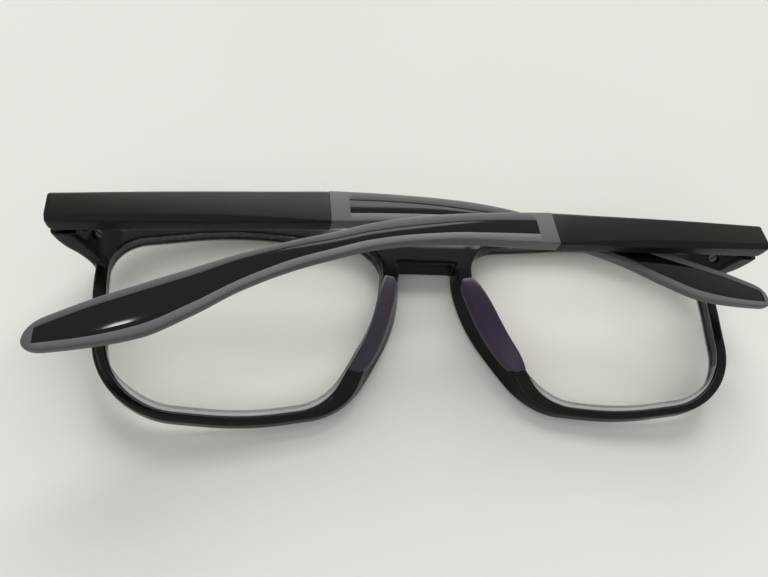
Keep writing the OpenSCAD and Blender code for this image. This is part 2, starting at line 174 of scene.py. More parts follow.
def curve(ts, vs):
    """Smooth curve through points that doesn't overshoot them."""
    ts, vs = np.array(ts, float), np.array(vs, float)
    h = np.diff(ts)
    slope = np.diff(vs) / h
    d = np.zeros_like(vs)
    d[0], d[-1] = slope[0], slope[-1]
    for i in range(1, len(ts) - 1):
        if slope[i - 1] * slope[i] > 0:
            w1, w2 = 2 * h[i] + h[i - 1], h[i] + 2 * h[i - 1]
            d[i] = (w1 + w2) / (w1 / slope[i - 1] + w2 / slope[i])

    def at(t):
        i = int(np.clip(np.searchsorted(ts, t) - 1, 0, len(h) - 1))
        u = min(1.0, max(0.0, (t - ts[i]) / h[i]))
        return float(
            (1 + 2 * u) * (1 - u) ** 2 * vs[i]
            + u * (1 - u) ** 2 * h[i] * d[i]
            + u * u * (3 - 2 * u) * vs[i + 1]
            + u * u * (u - 1) * h[i] * d[i + 1]
        )

    return at


def curves(stations):
    """A curve over the first column of a list of stations for each of its other columns."""
    ts, *columns = zip(*stations)
    return [curve(ts, column) for column in columns]


def smoothstep(a, b, x):
    """0 up to a, 1 from b on, and smooth between."""
    u = min(1.0, max(0.0, (x - a) / (b - a)))
    return u * u * (3 - 2 * u)


def plateau(rise, fall, x):
    """1 between two slopes and 0 outside them."""
    return smoothstep(*rise, x) * (1 - smoothstep(*fall, x))


def fillet(u):
    """Gap between a quarter circle and its corner: 1 at u = 0, and none from u = 1 on."""
    return 1 - math.sqrt(max(0.0, 1 - (1 - min(1.0, u)) ** 2))


def section(x0, x1, y0, y1, radii):
    """Rounded rectangle with a radius for each corner, anticlockwise from the lower left."""
    corners = ((x0, y0, 1, 1, 180), (x1, y0, -1, 1, 270), (x1, y1, -1, -1, 0), (x0, y1, 1, -1, 90))
    points = []
    for (x, y, right, up, first), r in zip(corners, radii):
        for k in range(CORNER_STEPS + 1):
            g = math.radians(first + 90 * k / CORNER_STEPS)
            points.append((x + right * r + r * math.cos(g), y + up * r + r * math.sin(g)))
    return points


def front_z(x):
    """Depth of the curved front face behind the flat it rests on."""
    return WRAP * (max(0.0, abs(x) - FLAT_HALF) / (OUTER_X - FLAT_HALF)) ** 2


def placed(side, x, y, z):
    """Point of the front in the CAD frame, mirrored for the left side."""
    return (side * x, y - BRIDGE_Y, z)


def rotation(degrees, axis):
    return Matrix.Rotation(math.radians(degrees), 4, axis)


# Meshes

def make(name, points, faces, matrix=None, scale=1.0):
    """Mesh object with its faces turned outwards."""
    mesh = bpy.data.meshes.new(name)
    mesh.from_pydata([tuple(p) for p in points], [], faces)
    if matrix is not None:
        mesh.transform(matrix)
    mesh.transform(Matrix.Scale(scale, 4))
    bm = bmesh.new()
    bm.from_mesh(mesh)
    bmesh.ops.remove_doubles(bm, verts=bm.verts, dist=MERGE * scale)
    bmesh.ops.recalc_face_normals(bm, faces=bm.faces)
    bm.to_mesh(mesh)
    bm.free()
    obj = bpy.data.objects.new(name, mesh)
    bpy.context.scene.collection.objects.link(obj)
    return obj


def loft(name, rings, matrix=None, scale=1.0, closed=False):
    """Mesh object over rings with the same number of points, closed on itself or capped at both ends."""
    n, k = len(rings), len(rings[0])
    faces = []
    for i in range(n if closed else n - 1):
        a, b = i * k, (i + 1) % n * k
        faces += [(a + j, a + (j + 1) % k, b + (j + 1) % k, b + j) for j in range(k)]
    if not closed:
        faces += [tuple(range(k - 1, -1, -1)), tuple(range((n - 1) * k, n * k))]
    return make(name, [point for ring in rings for point in ring], faces, matrix, scale)


def bake(obj):
    """Applies the object's modifiers to its mesh."""
    bpy.context.view_layer.update()
    graph = bpy.context.evaluated_depsgraph_get()
    mesh = bpy.data.meshes.new_from_object(obj.evaluated_get(graph))
    obj.modifiers.clear()
    old = obj.data
    obj.data = mesh
    bpy.data.meshes.remove(old)
    mesh.name = obj.name


def remove(obj):
    mesh = obj.data
    bpy.data.objects.remove(obj)
    bpy.data.meshes.remove(mesh)


def cut(obj, tool):
    """Takes the tool's solid out of the object's."""
    m = obj.modifiers.new("cut", "BOOLEAN")
    m.operation, m.solver, m.object = "DIFFERENCE", "EXACT", tool
    bake(obj)
    remove(tool)


def join(name, objs):
    """One object from several, each keeping its materials."""
    materials, verts, faces, slots = [], [], [], []
    for o in objs:
        at = len(verts)
        verts += [tuple(o.matrix_world @ v.co) for v in o.data.vertices]
        own = list(o.data.materials)
        for f in o.data.polygons:
            faces.append(tuple(at + v for v in f.vertices))
            m = own[f.material_index] if own else None
            if m not in materials:
                materials.append(m)
            slots.append(materials.index(m))
    mesh = bpy.data.meshes.new(name)
    mesh.from_pydata(verts, [], faces)
    for m in materials:
        if m is not None:
            mesh.materials.append(m)
    mesh.polygons.foreach_set("material_index", slots)
    for o in objs:
        remove(o)
    obj = bpy.data.objects.new(name, mesh)
    bpy.context.scene.collection.objects.link(obj)
    return obj


def shade(obj, angle):
    """Smooth shading, with edges sharper than the angle in degrees kept crisp."""
    obj.data.polygons.foreach_set("use_smooth", [True] * len(obj.data.polygons))
    obj.data.set_sharp_from_angle(angle=math.radians(angle))


def to_metres(obj):
    obj.data.transform(Matrix.Scale(MM, 4))


# Materials, with noise scales per metre

# The part of a noise's range that is spread over a roughness, and over two colours
NOISE_RANGE = (0.3, 0.7)
TINT_RANGE = (0.35, 0.65)


def material(name, color, roughness, **inputs):
    """Node material with a principled shader, whose constant inputs are set on its sockets."""
    m = bpy.data.materials.new(name)
    m.use_nodes = True
    shader = m.node_tree.nodes["Principled BSDF"]
    shader.inputs["Base Color"].default_value = (*color, 1)
    shader.inputs["Roughness"].default_value = roughness
    for key, value in inputs.items():
        shader.inputs[key.replace("_", " ")].default_value = value
    return m


def noise(m, scale, detail, stretch=(1, 1, 1)):
    """Noise texture in object space."""
    nodes, links = m.node_tree.nodes, m.node_tree.links
    where = nodes.new("ShaderNodeTexCoord")
    mapping = nodes.new("ShaderNodeMapping")
    mapping.inputs["Scale"].default_value = stretch
    links.new(where.outputs["Object"], mapping.inputs["Vector"])
    n = nodes.new("ShaderNodeTexNoise")
    n.inputs["Scale"].default_value = scale
    n.inputs["Detail"].default_value = detail
    links.new(mapping.outputs["Vector"], n.inputs["Vector"])
    return n


def vary_roughness(m, source, low, high):
    """Lets the roughness go from low to high with a noise."""
    nodes, links = m.node_tree.nodes, m.node_tree.links
    r = nodes.new("ShaderNodeMapRange")
    r.inputs["From Min"].default_value, r.inputs["From Max"].default_value = NOISE_RANGE
    r.inputs["To Min"].default_value = low
    r.inputs["To Max"].default_value = high
    links.new(source.outputs["Fac"], r.inputs["Value"])
    links.new(r.outputs["Result"], nodes["Principled BSDF"].inputs["Roughness"])


def tint(m, source, low, high):
    """Mixes two base colours by a noise."""
    nodes, links = m.node_tree.nodes, m.node_tree.links
    ramp = nodes.new("ShaderNodeValToRGB")
    for stop, position, color in zip(ramp.color_ramp.elements, TINT_RANGE, (low, high)):
        stop.position = position
        stop.color = (*color, 1)
    links.new(source.outputs["Fac"], ramp.inputs["Fac"])
    links.new(ramp.outputs["Color"], nodes["Principled BSDF"].inputs["Base Color"])


def bump(m, source, strength, distance):
    """Raises the surface by a noise."""
    nodes, links = m.node_tree.nodes, m.node_tree.links
    b = nodes.new("ShaderNodeBump")
    b.inputs["Strength"].default_value = strength
    b.inputs["Distance"].default_value = distance
    links.new(source.outputs["Fac"], b.inputs["Height"])
    links.new(b.outputs["Normal"], nodes["Principled BSDF"].inputs["Normal"])


def shaded(color, share):
    """Colour made darker or lighter."""
    return [c * share for c in color]


def plastic(name, color, roughness, uneven, grain, strength, **inputs):
    """Moulded plastic: a little uneven in gloss and colour, with a fine grain."""
    m = material(name, color, roughness, **inputs)
    vary_roughness(m, noise(m, scale=60, detail=4), roughness - uneven, roughness + uneven)
    tint(m, noise(m, scale=25, detail=2), shaded(color, 0.8), shaded(color, 1.25))
    bump(m, noise(m, scale=grain, detail=2), strength, distance=0.03 * MM)
    return m


def frosted_and_painted_edge(name, low, high, alpha):
    """Ground edge of a lens, frosted and a little uneven; the same recipe gives the pale painted highlight
    line and the wall's dark painted shade.
    """
    m = material(name, high, roughness=0.4, Alpha=alpha)
    vary_roughness(m, noise(m, scale=400, detail=3), low=0.3, high=0.5)
    tint(m, noise(m, scale=150, detail=2), low, high)
    return m


def steel(name, color, roughness):
    """Steel with fine turning marks."""
    m = material(name, color, roughness, Metallic=1.0)
    marks = noise(m, scale=900, detail=4, stretch=(1, 8, 1))
    vary_roughness(m, marks, roughness - 0.08, roughness + 0.1)
    tint(m, noise(m, scale=300, detail=2), shaded(color, 0.85), color)
    bump(m, marks, strength=0.1, distance=0.02 * MM)
    return m


frame_black = plastic(
    "frame_black", (0.0036, 0.0037, 0.0035), roughness=0.2, uneven=0.05,
    grain=2500, strength=0.05, Specular_IOR_Level=0.15,
)
temple_black = plastic(
    "temple_black", (0.0068, 0.0067, 0.0061), roughness=0.33, uneven=0.05,
    grain=5000, strength=0.12, Specular_IOR_Level=0.13,
)
rib_black = plastic(
    "rib_black", (0.0034, 0.0033, 0.0031), roughness=0.07, uneven=0.015,
    grain=1500, strength=0.03, Specular_IOR_Level=0.22,
)
sleeve_grey = plastic(
    "sleeve_grey", (0.070, 0.061, 0.067), roughness=0.56, uneven=0.06,
    grain=7000, strength=0.25, Sheen_Weight=0.12, Sheen_Roughness=0.5,
)
pad_soft = plastic(
    "pad_soft", (0.028, 0.016, 0.037), roughness=0.42, uneven=0.06,
    grain=4000, strength=0.15, Sheen_Weight=0.15, Specular_IOR_Level=0.3,
)
lens_clear = material(
    "lens_clear", (0.92, 0.892, 0.9), roughness=0.02,
    Alpha=0.3, Transmission_Weight=1.0, IOR=1.1, Specular_IOR_Level=0.2,
)
vary_roughness(lens_clear, noise(lens_clear, scale=90, detail=2), low=0.01, high=0.04)
lens_edge = frosted_and_painted_edge("lens_edge", (0.17, 0.17, 0.165), (0.25, 0.25, 0.245), alpha=0.75)
# Painted highlight: a pale line on the lower bevel of the lens
lens_painted_highlight = frosted_and_painted_edge("lens_painted_highlight", (0.54, 0.54, 0.53), (0.64, 0.64, 0.63), alpha=0.85)
# Painted shade: the lens's side wall made dark, a painted reflection of the black rim
lens_wall_painted_shade = frosted_and_painted_edge("lens_wall_painted_shade", (0.012, 0.012, 0.011), (0.018, 0.018, 0.017), alpha=1.0)
hinge_steel = steel("hinge_steel", (0.42, 0.42, 0.43), roughness=0.32)
screw_steel = steel("screw_steel", (0.09, 0.09, 0.092), roughness=0.34)


# Front frame

# Rim: sections, and edge radii at the front inside, front outside, rear outside and rear inside
RIM_SECTIONS = 480
RIM_EDGES = (0.3, 0.75, 0.6, 0.3)
# The brow's outer corner stands higher on the outside of the rim than in the opening
BROW = [*OPENING[:2], (OUTER_X, TOP_Y - 2.7, 7.5), *OPENING[3:]]
BROW_WIDTHS = [RIM_TOP + 0.3, RIM_TOP + 0.4, *RIM_WIDTHS[2:]]
# Nose flange: where it ends along x, and the heights between which it deepens and flares
NOSE_END = (16, 22)
DEEP_FROM, DEEP_TO = (-19.5, -11), (16, 22)
FLARE_FROM, FLARE_TO = (-17, -9), (5, 11)
# How much the gap for the nose widens from the front to the rear on each side, and the share of the depth
# at which the flange keeps its width
NOSE_FLARE, FLARE_PIVOT = 1.75, 0.3

# Stations of the right lug from the rim to the hinge: number, outer point (x, z), inner point (x, z),
# lower and upper edge
LUG_ROOT_OUT, LUG_ROOT_IN = 63.2, 60.2
LUG_END_OUT, LUG_END_T = HINGE_X + SKIN_SET - 0.2, 4.1
LUG_REAR = HINGE_Z - END_SET - JOINT_GAP
LUG = [
    (0, LUG_ROOT_OUT, front_z(LUG_ROOT_OUT), LUG_ROOT_IN, front_z(LUG_ROOT_IN) + RIM_DEPTH, 6.4, 17.0),
    (1, 64.4, 4.4, 61.4, 7.3, 7.9, 17.0),
    (2, 65.0, 5.8, 62.2, 8.3, 8.6, 16.8),
    (3, 65.8, 7.3, 62.9, 9.5, 8.9, 16.5),
    (4, 66.8, 9.1, 63.6, 11.1, 9.0, 16.1),
    (5, 68.2, 11.0, 64.3, 12.9, 9.05, 15.7),
    (6, 69.2, 13.4, 65.1, 14.6, 9.1, 15.4),
    (7, LUG_END_OUT, LUG_REAR, LUG_END_OUT - LUG_END_T, LUG_REAR, 9.1, 15.4),
]
LUG_SECTIONS = 57
# Edge radius of the lug, its most as a share of the thickness, and the inner edges' share of it
LUG_EDGE, LUG_EDGE_MOST, LUG_EDGE_INNER = 0.9, 0.35, 0.7

# Right half of the bridge: x, lower edge, upper edge and depth; the upper rear edge slopes off
BRIDGE_HALF = [(0, 11.85, 20.5, 4.85), (5, 11.8, 20.4, 5.0), (9, 11.4, 20.2, 5.0), (12.5, 10.9, 19.8, 5.0)]
BRIDGE_SLOPE = 1.3
BRIDGE_SECTIONS = 51

# Screw holes in the lugs: radius, and reach along the screw
HOLE_R, HOLE_FROM, HOLE_TO = 0.95, 1.18, 8
ROD_SIDES = 32
# Column that clears the lens opening: step of its corners in degrees, and reach along z
COLUMN_STEP, COLUMN_REACH = 4.0, (-3, 30)
# The front's solids become one skin of voxels, which is then smoothed
VOXEL, EASE_SHARE, EASE_TIMES = 0.2, 0.5, 9


def rim(side):
    """Ring round one lens, with the deeper flange that carries the nose pad."""
    angles = np.linspace(0, 2 * math.pi, RIM_SECTIONS, endpoint=False)
    inner, outer = around_lens(OPENING, angles), around_lens(grow(BROW, BROW_WIDTHS), angles)
    rings = []
    for p, q in zip(inner, outer):
        mid_x, mid_y = (p + q) / 2
        nose = 1 - smoothstep(*NOSE_END, mid_x)
        depth = RIM_DEPTH + (NOSE_DEPTH - RIM_DEPTH) * plateau(DEEP_FROM, DEEP_TO, mid_y) * nose
        flare = NOSE_FLARE * nose * plateau(FLARE_FROM, FLARE_TO, mid_y)
        width, out = np.linalg.norm(q - p), unit(q - p)
        ring = []
        for a, z in section(0, width, 0, depth, RIM_EDGES):
            x, y = p + out * (a - flare * a / width * (z / depth - FLARE_PIVOT))
            ring.append(placed(side, x, y, front_z(x) + z))
        rings.append(ring)
    return loft("rim", rings, closed=True)


def lug(side):
    """Arm from the rim's upper outer corner back to the hinge."""
    outer_x, outer_z, inner_x, inner_z, low, high = curves(LUG)
    rings = []
    for t in np.linspace(0, len(LUG) - 1, LUG_SECTIONS):
        outer, inner = np.array([outer_x(t), outer_z(t)]), np.array([inner_x(t), inner_z(t)])
        inwards, width = unit(inner - outer), np.linalg.norm(inner - outer)
        r = min(LUG_EDGE, width * LUG_EDGE_MOST)
        radii = (r, r * LUG_EDGE_INNER, r * LUG_EDGE_INNER, r)
        ring = []
        for a, y in section(0, width, low(t), high(t), radii):
            x, z = outer + inwards * a
            ring.append(placed(side, x, y, z))
        rings.append(ring)
    return loft("lug", rings)


def bridge():
    """Bar between the rims, flush with the nose flanges."""
    low, high, deep = curves([(-x, *rest) for x, *rest in BRIDGE_HALF[:0:-1]] + BRIDGE_HALF)
    end = BRIDGE_HALF[-1][0]
    rings = []
    for x in np.linspace(-end, end, BRIDGE_SECTIONS):
        y0, y1, z1 = low(x), high(x), deep(x)
        corners = [
            (y0, 0, 0.6),
            (y1, 0, 0.5),
            (y1, z1 - BRIDGE_SLOPE, 0.6),
            (BRIDGE_Y, z1, 3.0),
            (y0, z1, 0.8),
        ]
        rings.append([placed(1, x, y, front_z(x) + z) for y, z in rounded(corners, count=CORNER_STEPS)])
    return loft("bridge", rings)


def hinge_matrix(side):
    """Hinge frame: X along the folded temple, Y along the hinge axis, Z outwards."""
    flip = Matrix.Scale(-1, 4, (1, 0, 0))
    m = Matrix.Translation((0, -BRIDGE_Y, 0))
    if side < 0:
        m = m @ flip
    return m @ Matrix.Translation((HINGE_X, HINGE_Y, HINGE_Z)) @ rotation(side * SKEW, "Z") @ flip


def rod(name, r, z0, z1, matrix):
    """Cylinder along Z that cuts a round hole."""
    angles = [2 * math.pi * j / ROD_SIDES for j in range(ROD_SIDES)]
    return loft(name, [[(r * math.cos(g), r * math.sin(g), z) for g in angles] for z in (z0, z1)], matrix)


def opening_column(side):
    """Column that clears the lens opening."""
    outline = rounded(OPENING, COLUMN_STEP)
    return loft("column", [[placed(side, x, y, z) for x, y in outline] for z in COLUMN_REACH])


def front():
    """One moulding of rims, bridge and lugs, with blended joints."""
    lugs = []
    for side in (-1, 1):
        arm = lug(side)
        for share in LEAF_SCREWS:
            leaf = hinge_matrix(side) @ rotation(-LEAF_SLANT, "Y")
            place = leaf @ Matrix.Translation((0, 0, -share * FRONT_LEAF_L)) @ rotation(90, "Y")
            cut(arm, rod("hole", HOLE_R, HOLE_FROM, HOLE_TO, place))
        cut(arm, opening_column(side))
        lugs.append(arm)
    middle = bridge()
    for side in (-1, 1):
        cut(middle, opening_column(side))
    obj = join("front", [rim(-1), rim(1), middle, *lugs])
    m = obj.modifiers.new("blend", "REMESH")
    m.mode, m.voxel_size, m.use_smooth_shade = "VOXEL", VOXEL, True
    m = obj.modifiers.new("ease", "SMOOTH")
    m.factor, m.iterations = EASE_SHARE, EASE_TIMES
    bake(obj)
    to_metres(obj)
    obj.data.materials.append(frame_black)
    shade(obj, angle=180)
    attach(obj, "front")
    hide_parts("front_frame")


# Lenses

LENS_REAR = LENS_SET + LENS_T
# Edge from the rear face over the ground bevel to the front face: depth, and how far it lies inside the
# opening along the brow and temple, along the bottom and along the nose
LENS_EDGE = [
    (LENS_REAR, 0.3, 1.0, 0.62),
    (LENS_REAR - 0.02, 0.26, 0.92, 0.56),
    (LENS_REAR - 0.07, 0.2, 0.86, 0.5),
    (LENS_REAR - 0.3, 0.12, 0.48, 0.26),
    (LENS_REAR - 0.6, 0.03, 0.03, 0.03),
    (LENS_SET + 0.2, 0.03, 0.03, 0.03),
    (LENS_SET, 0.3, 0.3, 0.3),
]
# Heights between which the bottom's wider bevel goes over into the sides'
BOTTOM_TO_SIDE = (-17, -11)
LENS_POINTS = 300
# Rings of each face, and the size of the innermost as a share of the outline
FACE_RINGS, FACE_CORE = 16, 0.04
# Depths that part the clear front edge, the wall (painted shade along brow and temple), the pale painted
# highlight line, the grey bevel and the clear rear face
EDGE_FRONT, WALL_REAR = LENS_SET + 0.3, LENS_REAR - 0.62
HIGHLIGHT_REAR, EDGE_REAR = LENS_REAR - 0.3, LENS_REAR - 0.03
# Above the first height the edge lies along the brow, and above the second and past x along the temple
BROW_ABOVE, TEMPLE_ABOVE, TEMPLE_PAST = 9, -11, OUTER_X - 8
LENS_MATERIALS = [lens_clear, lens_edge, lens_painted_highlight, lens_wall_painted_shade]


def edge_material(x, y, depth):
    """Material of a face of the lens: a wall darkened with painted shade, a painted reflection of the black
    rim, along brow and temple, and a pale painted highlight line on the lower bevel.
    """
    if not EDGE_FRONT < depth < EDGE_REAR:
        return lens_clear
    wall = depth < WALL_REAR
    # Along the brow and the temple the wall gets painted shade, a dark painted reflection of the black rim
    if y > BROW_ABOVE:
        return lens_wall_painted_shade if wall else lens_clear
    if y > TEMPLE_ABOVE and abs(x) > TEMPLE_PAST:
        return lens_wall_painted_shade if wall else lens_edge
    # Along the bottom and the nose, one band of the bevel is a pale painted highlight
    return lens_painted_highlight if WALL_REAR < depth < HIGHLIGHT_REAR else lens_edge


def lens(side, name):
    """Lens with a ground bevel round its rear edge, a pale painted highlight line on the lower bevel and
    painted shade on the wall along brow and temple.
    """
    angles = np.linspace(0, 2 * math.pi, LENS_POINTS, endpoint=False)

    def outline(brow, bottom, nose):
        insets = [-brow] * (len(OPENING) - NOSE_SIDES) + [-nose] * NOSE_SIDES
        high = around_lens(grow(OPENING, insets), angles)
        low = around_lens(grow(OPENING, [-bottom] * len(OPENING)), angles)
        return np.array([p + (q - p) * (1 - smoothstep(*BOTTOM_TO_SIDE, p[1])) for p, q in zip(high, low)])

    def ring(flat, z, share=1.0):
        return [placed(side, x, y, front_z(x) + z) for x, y in LENS_CENTRE + (flat - LENS_CENTRE) * share]

    edges = [(outline(*insets), z) for z, *insets in LENS_EDGE]
    rings = [ring(*edges[0], share) for share in np.linspace(FACE_CORE, 1, FACE_RINGS)[:-1]]
    rings += [ring(*edge) for edge in edges]
    rings += [ring(*edges[-1], share) for share in np.linspace(1, FACE_CORE, FACE_RINGS)[1:]]
    obj = loft(name, rings, scale=MM)
    for m in LENS_MATERIALS:
        obj.data.materials.append(m)
    for f in obj.data.polygons:
        x, y, z = (v / MM for v in f.center)
        f.material_index = LENS_MATERIALS.index(edge_material(x, y + BRIDGE_Y, z - front_z(x)))
    shade(obj, angle=30)
    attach(obj, "front")
    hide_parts(name)


# Nose pads

# Stations of the right pad from its upper to its lower end: share of the length, nose edge (x, y),
# crest (x, y) and height of the crest
PAD = [
    (0, 7.35, 8.5, 8.9, 8.8, 0.15),
    (0.05, 7.0, 7.8, 9.3, 8.3, 0.9),
    (0.14, 7.15, 6.2, 9.9, 7.0, 1.6),
    (0.28, 7.75, 3.2, 10.9, 4.0, 2.5),
    (0.42, 8.55, 0.2, 11.8, 1.0, 3.0),
    (0.57, 9.85, -3.8, 12.7, -2.2, 3.2),
    (0.73, 11.85, -8.1, 14.1, -5.9, 3.0),
    (0.88, 13.75, -10.9, 15.9, -9.2, 2.2),
    (0.96, 14.8, -11.8, 16.9, -11.0, 1.1),
    (1, 15.5, -12.2, 17.3, -11.7, 0.3),
]
# Section of a pad: share of the way from the nose edge to the crest, and share of the crest's height or,
# where it is negative, millimetres below the flange's rear face
PAD_SECTION = [
    (0.1, -1.3), (-0.1, -1.3), (-0.09, -0.7), (-0.03, -0.05),
    (0.06, 0.14), (0.18, 0.28), (0.38, 0.5), (0.6, 0.72),
    (0.8, 0.91), (0.93, 1.0), (1.01, 0.95), (1.03, 0.8),
    (1.0, 0.5), (0.93, 0.2), (0.84, -0.5), (0.5, -0.5),
]
PAD_SECTIONS = 41


def pad(side, name):
    """Soft leaf on the nose flange: it wraps over the nose side, and its crest leans towards the lens."""
    nose_x, nose_y, crest_x, crest_y, height = curves(PAD)
    rings = []
    for k in range(PAD_SECTIONS):
        u = 0.5 - 0.5 * math.cos(math.pi * k / (PAD_SECTIONS - 1))
        nose, crest = np.array([nose_x(u), nose_y(u)]), np.array([crest_x(u), crest_y(u)])
        ring = []
        for a, b in PAD_SECTION:
            x, y = nose + (crest - nose) * a
            ring.append(placed(side, x, y, NOSE_DEPTH + (b * height(u) if b >= 0 else b)))
        rings.append(ring)
    obj = loft(name, rings, scale=MM)
    m = obj.modifiers.new("round", "SUBSURF")
    m.levels = m.render_levels = 1
    bake(obj)
    obj.data.materials.append(pad_soft)
    shade(obj, angle=60)
    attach(obj, "front")
    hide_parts(name)


# Temples, in stations t from the hinge end to the tip, heights h, and n outwards from the outer face

# Upper and lower edge by station
upper, lower = curves([
    (0, 2.8, -2.85),
    (20, 3.75, -2.65),
    (40, 4.4, -2.6),
    (COLLAR_T, 4.65, -2.65),
    (56, 4.45, -2.45),
    (66, 3.9, -2.15),
    (75, 3.0, -2.6),
    (84, 1.25, -3.9),
    (91, -0.8, -5.85),
    (98, -2.65, -8.1),
    (106.5, -5.3, -11.85),
    (114, -8.15, -16.3),
    (121, -10.85, -19.7),
    (128, -13.6, -21.1),
    (133, -15.95, -21.65),
    (137, -17.9, -21.95),
])
# Upper and lower edge of the sleeve's slot by station
slot_up, slot_low = curves([
    (52, 2.6, -0.5),
    (58, 2.5, -0.42),
    (66, 2.05, -0.4),
    (75, 1.0, -0.95),
    (84, -0.5, -2.25),
    (91, -2.3, -4.2),
    (98, -3.95, -6.4),
    (106.5, -6.55, -10.2),
    (114, -9.65, -14.5),
    (121, -12.3, -17.95),
    (128, -15.0, -19.7),
    (133, -17.3, -20.38),
    (135.2, -18.4, -20.6),
])
thick = curve([0, COLLAR_T, 66, 84, 98, 125, 137], [3.8, 3.0, 2.5, 2.0, 1.85, 1.8, 1.7])
# Height of the bevel along the lower outer edge of the bar, and its depth as a share of that
bevel_height = curve([0, 12, 24, 34, 42, 47.5], [0.85, 1.0, 1.15, 0.9, 0.5, 0.25])
BEVEL_DEPTH = 0.8
SLOT_START, SLOT_END = 51.9, 134.9

# Sections of the bar: close together at its rounded hinge end, even along its length, and with their inset
# where it draws in at the collar
BAR_END = [0, 0.06, 0.18, 0.4, 0.8, 1.2, 1.6, 1.9, 2.4, 3.2, 4, 6, 9]
BAR_MIDDLE = np.linspace(12, 47.8, 37)
BAR_COLLAR = {COLLAR_T - 0.12: 0.02, COLLAR_T - 0.06: 0.07}
# Rounding of the bar's hinge end: length and inset, and room round the hinge axis
END_ROUND, END_INSET, END_ROOM = 0.4, 0.35, 0.02
# Pocket for the knuckles and shaft for the hinge screw: room around them, and reach past the bar
POCKET_ROOM, HINGE_ROOM = 0.3, 0.15
POCKET_OUT, POCKET_DEEP, SHAFT_L = 1, 5, 6.2

# Rib: sections, points across, room to the slot's ends and edges, and depth of its face and back
RIB_SECTIONS, RIB_POINTS = 150, 15
RIB_END_ROOM, RIB_EDGE_ROOM = 0.04, 0.05
RIB_FACE, RIB_BACK = -0.2, -0.6
# Crown of the rib, which grows with its width, and rounding of its lower edge by depth and width
CROWN_LEAST, CROWN_GROWTH, CROWN_WIDTHS = 0.03, 0.11, (3, 6)
RIB_DROP, RIB_DROP_W = 0.12, 0.25

# Sleeve: rounded front edge with its length and inset, and sections behind it
SLEEVE_START = COLLAR_T - 0.04
COLLAR_ROUND, COLLAR_INSET = 0.24, 0.07
COLLAR_SECTIONS = [SLEEVE_START, COLLAR_T, COLLAR_T + 0.08, COLLAR_T + 0.2]
BAND_START, BAND_SECTIONS, SLOT_SECTIONS = 49.0, 5, 130
# Length of the slot's end walls, and how near to its ends the seam follows the slot's middle
SLOT_WALL, SLOT_NEAR = 0.03, 0.1
# Lip of the slot as (distance out from its edge, depth below the face), from the bottom up
LIP = [(0.0, 0.55), (0.0, 0.14), (0.05, 0.04), (0.15, 0.0)]
# Rounded tip: length and sections
TIP_ROUND, TIP_SECTIONS = 3.0, 24
TIP_START = TEMPLE_L - TIP_ROUND
# Powers by which its height and thickness draw in, the least that stays, and the share of thickness that goes
TIP_HEIGHT_POWER, TIP_THIN_POWER, TIP_LEAST, TIP_THIN = 2.4, 4, 0.02, 0.42
# Edge radii at the outer and inner face, their most as shares of thickness and height, and steps of a corner
OUTER_EDGE, INNER_EDGE = 0.4, 0.95
EDGE_MOST_T, EDGE_MOST_H = 0.46, 0.48
SLEEVE_STEPS = 6


def temple_matrix(side):
    """Temple frame: X from the hinge end to the tip, Z outwards from the outer face."""
    tilt = rotation(-RIGHT_RISE if side > 0 else LEFT_DIP, "Y")
    return hinge_matrix(side) @ tilt @ Matrix.Translation((-END_SET, 0, SKIN_SET))


def bar(side):
    """Front section of the temple, with its hinge pocket and screw shaft."""
    where = temple_matrix(side)
    rings = []
    for t in [*BAR_END, *BAR_MIDDLE, *BAR_COLLAR]:
        inset = BAR_COLLAR.get(t, END_INSET * fillet(t / END_ROUND))
        deep = thick(t)
        if t < END_SET:
            deep = min(deep, SKIN_SET + math.sqrt(END_SET ** 2 - (END_SET - t) ** 2) + END_ROOM)
        low, high = lower(t) + inset, upper(t) - inset
        bevel, face, back = bevel_height(t), -inset, -deep + inset
        corners = [
            (low, back, 0.5),
            (low, face - BEVEL_DEPTH * bevel, 0.4),
            (low + bevel, face, 0.35),
            (high, face, 0.7),
            (high, back, 0.5),
        ]
        rings.append([(t, h, n) for h, n in rounded(corners, count=CORNER_STEPS)])
    obj = loft("bar", rings, where)
    half = HINGE_W / 2 + HINGE_ROOM
    skin = SKIN_SET - KNUCKLE_R - HINGE_ROOM
    sides = ((-half, -POCKET_DEEP), (half, -POCKET_DEEP), (half, -skin), (-half, -skin))
    ends = (-POCKET_OUT, KNUCKLE_R + END_SET + POCKET_ROOM)
    cut(obj, loft("pocket", [[(t, h, n) for h, n in sides] for t in ends], where))
    shaft = where @ Matrix.Translation((END_SET, 0, -SKIN_SET)) @ rotation(-90, "X")
    cut(obj, rod("shaft", SCREW_HEAD_R + HINGE_ROOM, 0, SHAFT_L, shaft))
    obj.data.materials.append(temple_black)
    return obj


def rib(side):
    """Glossy rib in the sleeve's slot, crowned and with a rounded lower edge."""
    rings = []
    for t in np.linspace(SLOT_START + RIB_END_ROOM, SLOT_END - RIB_END_ROOM, RIB_SECTIONS):
        low, high = slot_low(t) + RIB_EDGE_ROOM, slot_up(t) - RIB_EDGE_ROOM
        width = high - low
        crown = CROWN_LEAST + CROWN_GROWTH * smoothstep(*CROWN_WIDTHS, width)
        ring = []
        for u in np.linspace(0, 1, RIB_POINTS):
            drop = RIB_DROP * (1 - min(1, u * width / RIB_DROP_W)) ** 2
            ring.append((t, low + u * width, RIB_FACE - drop + crown * (1 - (2 * u - 1) ** 2)))
        rings.append([*ring, (t, high, RIB_BACK), (t, low, RIB_BACK)])
    obj = loft("rib", rings, temple_matrix(side))
    obj.data.materials.append(rib_black)
    return obj


def core(side, name):
    """Front section of the temple, and the rib that shows in the sleeve."""
    obj = join(name, [bar(side), rib(side)])
    to_metres(obj)
    shade(obj, angle=32)
    body = name.replace("_core", "")
    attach(obj, body)
    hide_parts(name)


